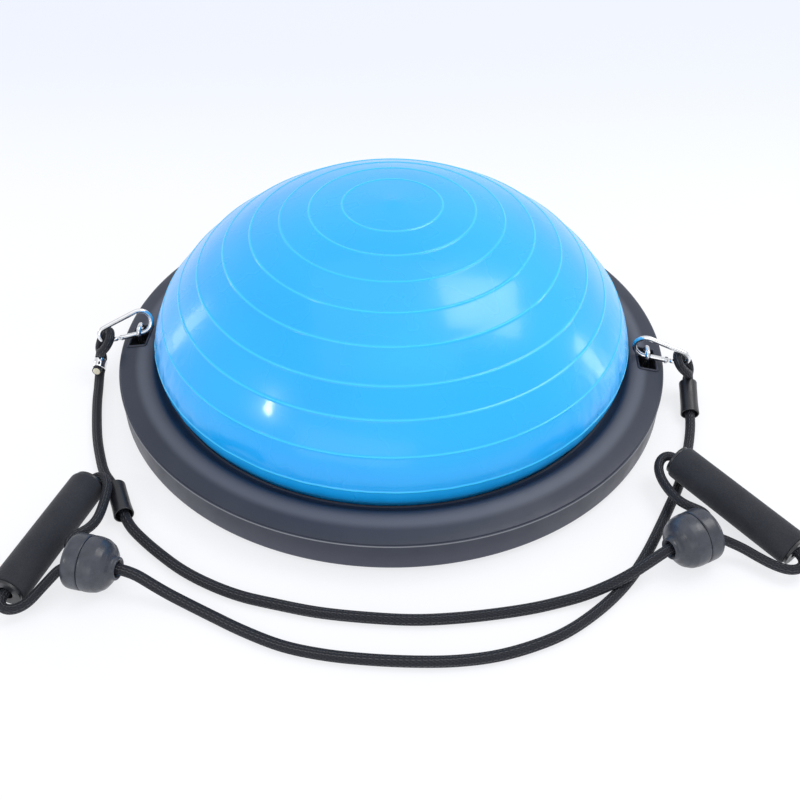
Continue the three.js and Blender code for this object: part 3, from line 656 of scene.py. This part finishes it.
LEFT_EYE_WAY = [
    (-310.6, -40.6, 28.5), (-303.5, -41.5, 36.5), (-298.6, -38, 44.5), (-300.3, -28.4, 46.3),
    (-304.4, -21.4, 43.6), (-309.8, -23.6, 39.2), (-314, -25.5, 32), (-316.4, -28, 22.5),
]
RIGHT_EYE_WAY = [
    (315, -31, 29), (306.8, -34.2, 38), (301.8, -33.4, 45), (301.4, -24.9, 46.7),
    (304, -17, 45.4), (309.5, -16.2, 41.8), (314.8, -18.2, 35.5), (318.4, -21, 26),
]
LEFT_CORD_WAY = [
    (-314, -53, 0.2), (-311, -66, -0.2), (-307, -84, -0.2), (-300, -110, -0.2),
    (-290, -142, -0.2), (-280, -167, -0.2), (-269, -190, 0.6), (-260, -202, 2),
    (-251, -213, 3), (-242, -229, 3), (-233, -246, 2.6), (-225, -257, 0.8),
    (-212, -269, -0.2), (-191, -286, -0.2), (-165, -304, -0.2), (-137, -318, -0.2),
    (-109, -328, -0.2), (-80, -334, -0.2), (-40, -340.5, -0.2), (6, -343, -0.2),
    (45, -342.5, -0.2), (80, -338, -0.2), (113, -331.5, -0.2), (146, -323, -0.2),
    (171, -314.5, 0.2), (188, -308.5, 1.5), (203, -302.5, 4.2), (216, -297, 7.6),
    (230, -290, 11.8), (247, -279.5, 17.2),
]
RIGHT_CORD_WAY = [
    (315.4, -80, 1.2), (313, -94, -0.2), (308.5, -113, -0.2), (303, -133, -0.2),
    (296.5, -154, -0.2), (288.5, -174, -0.2), (279, -195, -0.2), (268, -219, -0.2),
    (252, -252, -0.2), (239, -275, -0.2), (222, -299, -0.2), (200, -323, -0.2),
    (172, -346.5, -0.2), (144, -362, -0.2), (113, -374, -0.2), (80, -381, -0.2),
    (45, -384, -0.2), (5, -384.5, -0.2), (-30, -382.5, -0.2), (-65, -376.5, -0.2),
    (-100, -364, -0.2), (-131, -350, 0), (-152, -341, 1.6), (-170, -334.5, 5.5),
    (-186, -329, 11.2), (-200, -324.5, 17.2),
]
LEFT_LOOP_TO_GRIP = [
    (-266.8, -300, 19.8), (-267, -291.5, 20), (-260.5, -284, 20), (-253.2, -275.5, 19.6),
    (-250.2, -264.5, 19), (-250.2, -254, 18.2), (-250.6, -243, 18), (-252, -230.5, 18),
    (-254.8, -218.5, 17), (-262.5, -208.5, 15.2), (-271, -207.5, 12.4),
]
LEFT_LOOP_FROM_GRIP = [
    (-310.6, -355.8, 11.2), (-305.8, -362.6, 9.8), (-296.4, -362.2, 8.4), (-287.4, -354, 8),
    (-281.6, -341, 8.6), (-275.5, -331.5, 11.4), (-270, -326.8, 16),
]
RIGHT_LOOP_TO_GRIP = [
    (306.5, -227.5, 19.6), (304, -219.5, 19.8), (295.5, -214.5, 19.6), (287, -209.5, 19.2),
    (281, -202, 18.4), (276.6, -192.5, 17.4), (272.4, -182, 17), (269.2, -171.5, 18.4),
    (268.8, -162, 20.2), (272.4, -153.5, 21.8), (279.5, -148.8, 23.2),
]
RIGHT_LOOP_FROM_GRIP = [
    (386.5, -259.5, 11.2), (386, -267.5, 9.8), (378, -272.5, 8.4), (368, -271, 7.6),
    (357.5, -265.5, 7.4), (346, -257.5, 7.6), (335.5, -250.8, 9.2), (325, -248.2, 12.4),
    (317.5, -248.2, 16.4),
]


def cord_route(name):
    end, below = ENDS[name], FERRULE_L + 0.3
    if name == "left":
        start = [end.at(below, -4.6), end.at(below + 3, -4.5)]
        way, stopper = LEFT_CORD_WAY, STOPPERS["right"]
    else:
        start = [end.at(below), end.at(26), end.at(SLEEVE_L)]
        way, stopper = RIGHT_CORD_WAY, STOPPERS["left"]
    return start + [Vector(p) for p in way] + [stopper.at(BULB_L), stopper.at(KNOT_FACE)]


def eye_route(name):
    """From the crimped tail, over the hook's wire from front to back, and down to the crimp."""
    end, way = ENDS[name], {"left": LEFT_EYE_WAY, "right": RIGHT_EYE_WAY}[name]
    tail, main = end.split
    rise = [end.at(0.8, tail), end.at(-7, tail)]
    return rise + [Vector(p) for p in way] + [end.at(-6, main), end.at(0.8, main)]


def loop_route(name):
    stopper, handle = STOPPERS[name], HANDLES[name]
    to_grip, from_grip = {
        "left": (LEFT_LOOP_TO_GRIP, LEFT_LOOP_FROM_GRIP),
        "right": (RIGHT_LOOP_TO_GRIP, RIGHT_LOOP_FROM_GRIP),
    }[name]
    points = [stopper.at(5.5, LOOP_SPREAD), stopper.at(-4, LOOP_SPREAD)]
    points += [Vector(p) for p in to_grip]
    points += [handle.at(HANDLE_L * t) for t in (0.015, 1 / 3, 2 / 3, 0.985)]
    points += [Vector(p) for p in from_grip]
    return points + [stopper.at(-4, -LOOP_SPREAD), stopper.at(5.5, -LOOP_SPREAD)]


def make_cord(name):
    path = relaxed(smooth_route(cord_route(name), 2.5), 6)
    piece = sweep("%s_resistance_cord" % name, path, CORD_R, 24)
    finish_piece(piece, None, CORD, "cord", "%s_cord" % name)
    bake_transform(piece)


def make_loop(name):
    path = relaxed(smooth_route(loop_route(name), 2), 12)
    piece = sweep("%s_handle_cord" % name, path, LOOP_R, 24)
    finish_piece(piece, "base", LOOP, "cord", "%s_handle_loop" % name)


# Base and dome

def pocket_outline(side, out, inward, half, radius, steps=6):
    """A rectangle round the U-bolt with rounded corners, as a list of x, y points."""
    corners = [(out, -half), (out, half), (-inward, half), (-inward, -half)]
    rounded = fillet(corners, radius, steps, closed=True)
    return [(side * (ANCHOR_X + x), ANCHOR_Y + y) for x, y in rounded]


def make_base_plate():
    outer = fillet([(0, 0), (286.6, 0), (289.2, 0.6), (BASE_R, 2.6), (BASE_R, 30.7)], [0, 1, 1, 1, 0], 4)
    lip = [(BASE_R + 0.5, 29.4), (BASE_R + 0.6, 30.2), (BASE_R + 0.1, 30.9), (BASE_R - 1, 30.9)]
    profile = outer[:-1] + [(BASE_R, 28.8)] + lip + [(BASE_R - 3, 30.9), (BASE_R - 3, 4), (0, 4)]
    plate = lathe("base_tray", profile, sides=256)
    finish_piece(plate, "base", SHELL, "shell", "base_plate")


def make_clamp_ring():
    under = 31.0
    edge = [(285.5, under), (BASE_R - 0.9, under), (BASE_R - 1.1, 31.9)]
    outer = edge + [(284, 33.1), (273, 34.9), (260, 36.9)]
    groove = [(256.5, 37.1), (253.5, 36.2), (250.6, 33.2), (247.4, 31.2)]
    lip = [(244.6, 30.9), (244.0, 32.0), (243.0, 32.1), (242.3, 31.0)]
    shoulder = groove + lip + [(241.6, 30.6), (241.3, 28.3)]
    inner = [(246.5, 28), (246.5, 26.3), (261.6, 26.3), (261.6, 32.6), (272, 31.6), (285.5, 29.6)]
    radii = [0, 0.3, 0.8, 3, 6, 6, 3, 3, 3, 2, 0.6, 0.4, 0.4, 0.4, 0.5, 1] + [0] * 6
    profile = fillet(outer + shoulder + inner, radii, 4, closed=True)
    ring = lathe("rim_ring", profile, sides=256, closed=True)
    cutters = []
    for side in (-1, 1):
        cutters.append(prism(pocket_outline(side, 12.2, 10.2, 19.2, 4.2), 4, 60))
    cut(ring, *cutters)
    finish_piece(ring, "base", SHELL, "shell", "clamp_ring")


DOME_OUTLINE = [
    (240.5, 31), (244.5, 36), (249, 46), (249.6, 58), (245.5, 73), (238, 88.5),
    (221, 110), (196.5, 135.5), (168, 157.5), (140, 174), (80, 195.5), (0, 205),
]
RIDGE_RISE = 0.75
RIDGE_WIDTH = 1.0
RIDGE_REACH = 2.6
RIDGES = [49.4, 81.8, 110.8, 140.8, 168.7, 196.8, 217.8, 238.1, 249.6]


def dome_profile():
    """Points of the skin with how much of a ridge each is."""
    route = smooth_route([(r, 0, z) for r, z in DOME_OUTLINE], 0.5)
    route = relaxed(route, 200)
    r, z = route[:, 0], route[:, 2]
    travel = np.r_[0, np.cumsum(np.hypot(np.diff(r), np.diff(z)))]
    top = travel[np.argmax(r)]
    peaks = []
    for ridge in RIDGES:
        upper = travel > top
        if ridge >= r.max() - 0.3:
            peaks.append(top + 2)
        else:
            peaks.append(travel[upper][np.argmin(abs(r[upper] - ridge))])
    stations = set(np.linspace(0, travel[-1], 70))
    for peak in peaks:
        stations.update(peak + np.linspace(-RIDGE_REACH, RIDGE_REACH, 13))
    at = np.array(sorted(s for s in stations if 0 <= s <= travel[-1]))
    rr, zz = np.interp(at, travel, r), np.interp(at, travel, z)
    slope = np.stack([np.gradient(rr, at), np.gradient(zz, at)], axis=1)
    slope /= np.linalg.norm(slope, axis=1)[:, None]
    ridge = sum(np.exp(-(((at - peak) / RIDGE_WIDTH) ** 2)) for peak in peaks)
    rr = rr + RIDGE_RISE * ridge * slope[:, 1]
    zz = zz - RIDGE_RISE * ridge * slope[:, 0]
    rr[-1] = 0
    return rr, zz, np.clip(ridge, 0, 1)


def make_dome():
    rr, zz, ridge = dome_profile()
    sides = 320
    profile = [(237.5, 24), (241, 24)] + [(max(r, 0), z) for r, z in zip(rr, zz)]
    dome = lathe("dome", profile, sides=sides, sharp=60)
    height = {}
    for r, z, share in zip(rr, zz, ridge):
        height[round(float(z), 3)] = float(share)
    shares = [height.get(round(v.co.z / MM, 3), 0.0) for v in dome.data.vertices]
    dome.data.attributes.new("ridge", "FLOAT", "POINT").data.foreach_set("value", shares)
    for vertex in dome.data.vertices:
        vertex.co = pucker(vertex.co)
    finish_piece(dome, "base", DOME, "dome", "dome_bladder")


PUCKER_DEPTH = 0.0007


def pucker(point):
    """Gathers the skin a little just above the clamp."""
    low = min(1, max(0, (0.1 - point.z) / 0.06)) * min(1, max(0, (point.z - 0.031) / 0.012))
    if low <= 0:
        return point
    angle = math.atan2(point.y, point.x)
    grain = Vector((18 * math.cos(angle), 18 * math.sin(angle), point.z * 22))
    pull = PUCKER_DEPTH * low * noise.noise(grain)
    flat = Vector((point.x, point.y, 0)).normalized()
    return point + flat * pull


def make_feet():
    corners = [(0, FLOOR_Z), (13, FLOOR_Z), (16, FLOOR_Z + 2.5), (16, 0), (0, 0)]
    profile = fillet(corners, [0, 1, 1.2, 0.4, 0], 4)
    for k in range(6):
        node = "foot_%d" % (k + 1)
        low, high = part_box(node)
        centre = (low + high) / 2 / MM
        foot = lathe("rubber_foot_%d" % (k + 1), profile, placed((centre.x, centre.y, 0)), 48)
        finish_piece(foot, "base", RUBBER, "rubber", node)


def make_valve():
    at = placed((0, 110, 0))
    seat = [(5, 0.2), (12, 0.2), (12, 1.5), (7.6, 1.5), (7.6, 6), (5, 6)]
    finish_piece(lathe("valve_ring", fillet(seat, 0.4, 3, closed=True), at, 48, closed=True),
                 "base", RUBBER, "rubber", "valve_seat")
    plug = [(0, -2.4), (6.5, -2.4), (8.5, -1.6), (8.5, -0.2), (4.6, -0.2), (4.6, 7), (3.4, 11), (0, 12)]
    finish_piece(lathe("valve_plug", fillet(plug, 0.8, 3), at, 48), "plug", RUBBER, "rubber", "air_plug")


# Anchors

def cup_top(x):
    """Height of the cup's rim, which stands a little above the clamp ring's slope."""
    return min(37, 36 - x * RING_SLOPE)


def make_cup(name, side):
    edge = [(12, -19), (12, 19), (-10, 19), (-10, -19)]
    outer = fillet(edge, 3.6, 8, closed=True)
    inset = [(x - math.copysign(2.4, x), y - math.copysign(2.4, y)) for x, y in edge]
    inner = fillet(inset, 2.2, 8, closed=True)
    count = len(outer)
    loops = [
        [(x, y, 13) for x, y in outer],
        [(x, y, cup_top(x) - 0.7) for x, y in outer],
    ]
    for t in (0.12, 0.3, 0.5, 0.7, 0.88):
        rise = 0.6 * math.sin(math.pi * t) - 0.2
        ring = []
        for (ox, oy), (ix, iy) in zip(outer, inner):
            x, y = ox + (ix - ox) * t, oy + (iy - oy) * t
            ring.append((x, y, cup_top(x) + rise))
        loops.append(ring)
    loops.append([(x, y, cup_top(x) - 0.7) for x, y in inner])
    loops.append([(x * 0.98, y * 0.98, 16) for x, y in inner])
    points = [(side * (ANCHOR_X + x), ANCHOR_Y + y, z) for loop in loops for x, y, z in loop]
    faces = end_faces(count, len(loops)) + wall_faces(count, len(loops))
    cup = new_piece("%s_pocket" % name, points, faces, 50)
    finish_piece(cup, "base", POCKET, "shell", "%s_anchor_cup" % name)


def make_u_bolt(name, side):
    high, half, bend = BOLT_TOP_Z, 7, 5
    path = []
    for k in range(9):
        path.append((side * ANCHOR_X, ANCHOR_Y - half, 5 + (high - bend - 5) * k / 8))
    for k in range(1, 9):
        t = math.pi / 2 * k / 8
        y = ANCHOR_Y - half + bend * (1 - math.cos(t))
        path.append((side * ANCHOR_X, y, high - bend + bend * math.sin(t)))
    path += [(x, 2 * ANCHOR_Y - y, z) for x, y, z in reversed(path[:-1])]
    bolt = sweep("%s_loop_bolt" % name, resampled(np.array(path), 1.0), 2.4, 24)
    finish_piece(bolt, "base", CHROME, "steel", "%s_u_bolt" % name)


# Hooks

def hook_path(hook):
    points = [hook.at(*hook.gate_line(GATE_TIP - 0.3))]
    start = -math.pi / 2 + hook.taper
    for k in range(25):
        angle = start - k / 24 * (math.pi + 2 * hook.taper)
        points.append(hook.at(HOOK_WIDE_R * math.cos(angle), HOOK_WIDE_R * math.sin(angle)))
    for k in range(17):
        angle = math.pi / 2 - hook.taper - k / 16 * (math.pi - 2 * hook.taper)
        points.append(hook.at(HOOK_SPAN + HOOK_NARROW_R * math.cos(angle), HOOK_NARROW_R * math.sin(angle)))
    points.append(hook.at(*hook.gate_line(SHANK_AT)))
    return smooth_route(points, 1.0)


def make_hook(name):
    hook, body = HOOKS[name], "%s_hook" % name
    path = hook_path(hook)
    radii = np.full(len(path), HOOK_R)
    radii[0], radii[1] = 1.7, 2.2
    radii[-1], radii[-2] = 1.7, 2.2
    wire = sweep("%s_hook_wire" % name, path, radii, 28)
    finish_piece(wire, body, CHROME, "steel", "%s_hook_body" % name)
    tongue = prism_along("%s_hook_tongue" % name, hook, RIVET_AT - 2, SHANK_AT + 1.5, 2, 1.2)
    finish_piece(tongue, body, CHROME, "steel")
    make_gate(name, hook)
    head = [(1, 2.9), (2.05, 2.9), (2, 3.25), (1.2, 3.7), (0, 3.8)]
    rivet = [(r, -z) for r, z in reversed(head)] + head
    pin = lathe("%s_rivet" % name, rivet, placed(hook.at(*hook.gate_line(RIVET_AT)), hook.w), 24)
    finish_piece(pin, body, ZINC, "steel", "%s_gate_rivet" % name)


def prism_along(name, hook, start, end, half_v, half_w):
    """A flat bar in the gate's line, with rounded ends."""
    corners = [(start, -half_v), (end, -half_v), (end, half_v), (start, half_v)]
    outline = fillet(corners, half_v, 5, closed=True)
    origin, way = hook.at(*hook.gate_line(0)), hook.gate_way()
    over = hook.w.cross(way)
    points = []
    for w in (-half_w, half_w):
        for x, y in outline:
            points.append(origin + way * (x / math.cos(hook.taper)) + over * y + hook.w * w)
    count = len(outline)
    return new_piece(name, points, end_faces(count, 2) + wall_faces(count, 2))


def make_gate(name, hook):
    """A tube that is open at the rivet's end, where a slot lets the tongue in."""
    length = GATE_END - GATE_TIP
    outside = [(0, 0), (2.2, 0), (GATE_R, 0.6), (GATE_R, length - 0.7), (2.3, length)]
    outer = outside + [(1.6, length), (1.5, length - 6), (0, length - 6.4)]
    place = hook.gate_matrix(GATE_TIP)
    gate = lathe("%s_gate_tube" % name, fillet(outer, 0.25, 3), place, 32)
    low, high = length - 3.6, length + 3
    corners = []
    for z in (low, high):
        for x, y in ((-1.55, -6), (1.55, -6), (1.55, 6), (-1.55, 6)):
            corners.append(place @ Vector((x, y, z)))
    faces = [[0, 1, 2, 3], [4, 5, 6, 7], [0, 1, 5, 4], [1, 2, 6, 5], [2, 3, 7, 6], [3, 0, 4, 7]]
    cut(gate, new_piece("cutter", corners, faces))
    finish_piece(gate, "%s_gate" % name, CHROME, "steel", "%s_hook_gate" % name)


# Cord ends

def make_eye(name):
    path = relaxed(smooth_route(eye_route(name), 1.2), 10)
    eye = sweep("%s_eye_cord" % name, path, CORD_R - 0.3, 24)
    finish_piece(eye, "%s_hook" % name, CORD, "cord", "%s_cord_eye" % name)


def make_ferrule(name, depth):
    end, body = ENDS[name], "%s_hook" % name
    side = end.across.cross(end.axis)
    sides, outline = 56, []
    for k in range(sides):
        angle = 2 * math.pi * k / sides
        outline.append((FERRULE_HALF_W * math.cos(angle), depth * math.sin(angle)))
    near = [(0, 0.80), (0, 0.93), (0.5, 1.0), (3.4, 1.0), (4.2, 0.965)]
    levels = near + [(FERRULE_L - down, scale) for down, scale in reversed(near)]
    points = []
    for down, scale in levels:
        centre = end.at(down)
        points += [centre + side * x * scale + end.across * y * scale for x, y in outline]
    faces = wall_faces(sides, len(levels)) + end_faces(sides, len(levels))
    band = new_piece("%s_crimp" % name, points, faces, 40)
    finish_piece(band, body, ZINC if name == "right" else CHROME, "steel", "%s_ferrule" % name)


def make_tail():
    """The spare end of the left cord: a short black sheath with its latex core cut off flush."""
    crimp = ENDS["left"].at(FERRULE_L - 1.5, 4.4)
    route = smooth_route([crimp, (-314.5, -49.6, 12.4), (-314.5, -53, 12.7)], 0.5)
    sheath = sweep("left_tail_sheath", route, 4.8, 24)
    finish_piece(sheath, "left_hook", CORD, "cord")
    way = Vector(route[-1]) - Vector(route[-2])
    core = [(0, -2), (3.9, -2), (3.9, 0.3), (3.7, 0.6), (2.5, 0.8), (0, 0.9)]
    cap = lathe("left_tail_core", core, placed(route[-1], way), 32)
    finish_piece(cap, "left_hook", LATEX, "latex", "left_cord_tail")


def make_sleeve(name, start, axis, body):
    upper = [(8.0, 0), (8.9, 0), (9.25, 0.6), (9.05, 8), (9.0, 28)]
    lower = [(9.35, 37), (9.5, 39.4), (9.2, SLEEVE_L), (8.1, SLEEVE_L)]
    profile = fillet(upper + lower, 0.3, 3, closed=True)
    tube = lathe("%s_cord_sleeve" % name, profile, placed(start, axis), 56, closed=True)
    finish_piece(tube, body, PVC, "rubber", "%s_sleeve" % name)


# Stoppers and handles

def make_stopper(name):
    stopper = STOPPERS[name]
    belly = [(23.4, 16.3), (24.1, 16.5), (24.7, 17.4), (BULB_R, 19), (24.7, 23), (23.6, 29), (20.4, 34.6)]
    nose = [(15.6, 38.2), (11.8, 39.8), (10.4, 41.2), (10.5, 43.2), (9.6, 44.5), (8.2, 44.2)]
    hole = [(6.7, 42.2), (6, 38.6)]
    inner = [(13, 35.8), (18, 31), (21, 25), (BULB_INSIDE_R, 16.3)]
    front = lathe("%s_stopper_dome" % name, fillet(belly + nose + hole + inner, 0.9, 4, closed=True),
                  stopper.matrix, 96, closed=True, sharp=50)
    finish_piece(front, "base", STOPPER, "plastic", "%s_stopper_front" % name)
    seam = [(BULB_R, BULB_SPLIT - 1.2), (24.3, BULB_SPLIT - 0.3), (23.6, BULB_SPLIT)]
    outer = [(0, 0), (20.2, 0), (23.4, 1.0), (BULB_R, 4)] + seam
    inner = [(BULB_INSIDE_R, BULB_SPLIT), (BULB_INSIDE_R, 3), (0, 3)]
    profile = fillet(outer + inner, [0, 2, 2, 3, 0.6, 0.4, 0.3, 0.2, 1, 0], 4)
    back = lathe("%s_stopper_cup" % name, profile, stopper.matrix, 96, sharp=50)
    cutters = []
    for offset in (-LOOP_SPREAD, LOOP_SPREAD):
        place = stopper.matrix @ Matrix.Translation((offset, 0, 0))
        cutters.append(lathe("cutter", [(0, -3), (LOOP_R + 0.7, -3), (LOOP_R + 0.7, 8), (0, 8)], place, 32))
    cut(back, *cutters)
    finish_piece(back, "base", STOPPER, "plastic", "%s_stopper_back" % name)


def make_handle(name):
    handle, body = HANDLES[name], "%s_handle" % name
    start, end = FLANGE_T + 0.2, FLANGE_T + GRIP_L - 0.2
    near = [(12, start), (14.8, start), (16.3, start + 0.8), (17, start + 3.2)]
    outer = near + [(r, start + end - z) for r, z in reversed(near)]
    profile = fillet(outer, 1.4, 4, closed=True)
    grip = lathe("%s_foam_grip" % name, profile, handle.matrix, 72, closed=True, sharp=50)
    finish_piece(grip, body, FOAM, "foam", "%s_grip" % name)
    near = [(7, 0), (14.3, 0), (14.6, 0.4), (14.6, FLANGE_T - 0.4), (14.3, FLANGE_T), (11.7, FLANGE_T)]
    far = [(r, HANDLE_L - z) for r, z in reversed(near)]
    profile = fillet(near + far, 0.3, 3, closed=True)
    core = lathe("%s_inner_tube" % name, profile, handle.matrix, 56, closed=True)
    finish_piece(core, body, PVC, "plastic", "%s_core_tube" % name)


# Stage

def make_stage():
    half = 6.0
    points = [(-half, -half), (half, -half), (half, half), (-half, half)]
    mesh = bpy.data.meshes.new("floor")
    mesh.from_pydata([(x, y, FLOOR_Z * MM) for x, y in points], [], [[0, 1, 2, 3]])
    floor = bpy.data.objects.new("floor", mesh)
    bpy.context.scene.collection.objects.link(floor)
    mesh.materials.append(floor_sheet())


def area_light(name, place, target, size, power, color=(1, 1, 1)):
    data = bpy.data.lights.new(name, "AREA")
    data.shape = "RECTANGLE"
    data.size, data.size_y = size
    data.energy = power
    data.color = color
    light = bpy.data.objects.new(name, data)
    bpy.context.scene.collection.objects.link(light)
    light.location = place
    light.rotation_mode = "QUATERNION"
    light.rotation_quaternion = (Vector(place) - Vector(target)).to_track_quat("Z", "Y")


def make_light():
    world = bpy.data.worlds.new("studio")
    world.use_nodes = True
    background = world.node_tree.nodes["Background"]
    background.inputs["Color"].default_value = (0.97, 0.98, 1.0, 1)
    background.inputs["Strength"].default_value = 0.8
    bpy.context.scene.world = world
    area_light("key", (0.9, 0.2, 1.5), (0.1, -0.1, 0.17), (0.8, 0.9), 9, (1, 0.99, 0.97))
    area_light("spark", (-1.6, -1.15, 1.05), (-0.1, -0.2, 0.11), (0.14, 0.1), 3)
    area_light("left_strip", (-1.9, 0.7, 0.22), (-0.2, 0, 0.06), (0.22, 0.8), 2)
    area_light("right_strip", (1.9, 0.5, 0.22), (0.25, 0, 0.06), (0.22, 0.8), 3)
    area_light("front", (-0.5, -2.3, 0.9), (0, 0, 0.08), (2.2, 1.2), 7)
    area_light("overhead", (0, -0.2, 2.2), (0, 0, 0), (2.4, 2.4), 7)
    bpy.context.scene.view_settings.view_transform = "Standard"


make_camera()
for side in SIDES:
    make_cord(side)
    make_loop(side)
make_base_plate()
make_clamp_ring()
make_dome()
make_feet()
make_valve()
for side, sign in SIDES.items():
    make_cup(side, sign)
    make_u_bolt(side, sign)
    make_hook(side)
    make_eye(side)
    make_ferrule(side, 9.2 if side == "left" else 7.4)
    make_stopper(side)
    make_handle(side)
make_tail()
make_sleeve("left", (-251.4, -210.5, FLOOR_Z + 9.3), (18, -36, 0), "base")
make_sleeve("right", ENDS["right"].at(0.8), ENDS["right"].axis, "right_hook")

# CAD nodes that no piece replaces keep their own mesh and take a material
HARDWARE = ("anchor_plate", "u_bolt_nut_front", "u_bolt_nut_back", "gate_spring")
CARRIED = {
    ZINC: ["rim_screw_%d" % k for k in range(1, 7)]
    + ["%s_%s" % (s, n) for s in SIDES for n in HARDWARE],
    RUBBER: ["%s_%s" % (s, n) for s in SIDES for n in ("cord_knot", "loop_knot")],
}
for material, names in CARRIED.items():
    for name in names:
        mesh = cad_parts[name].data
        mesh.materials.clear()
        mesh.materials.append(material)

make_stage()
make_light()
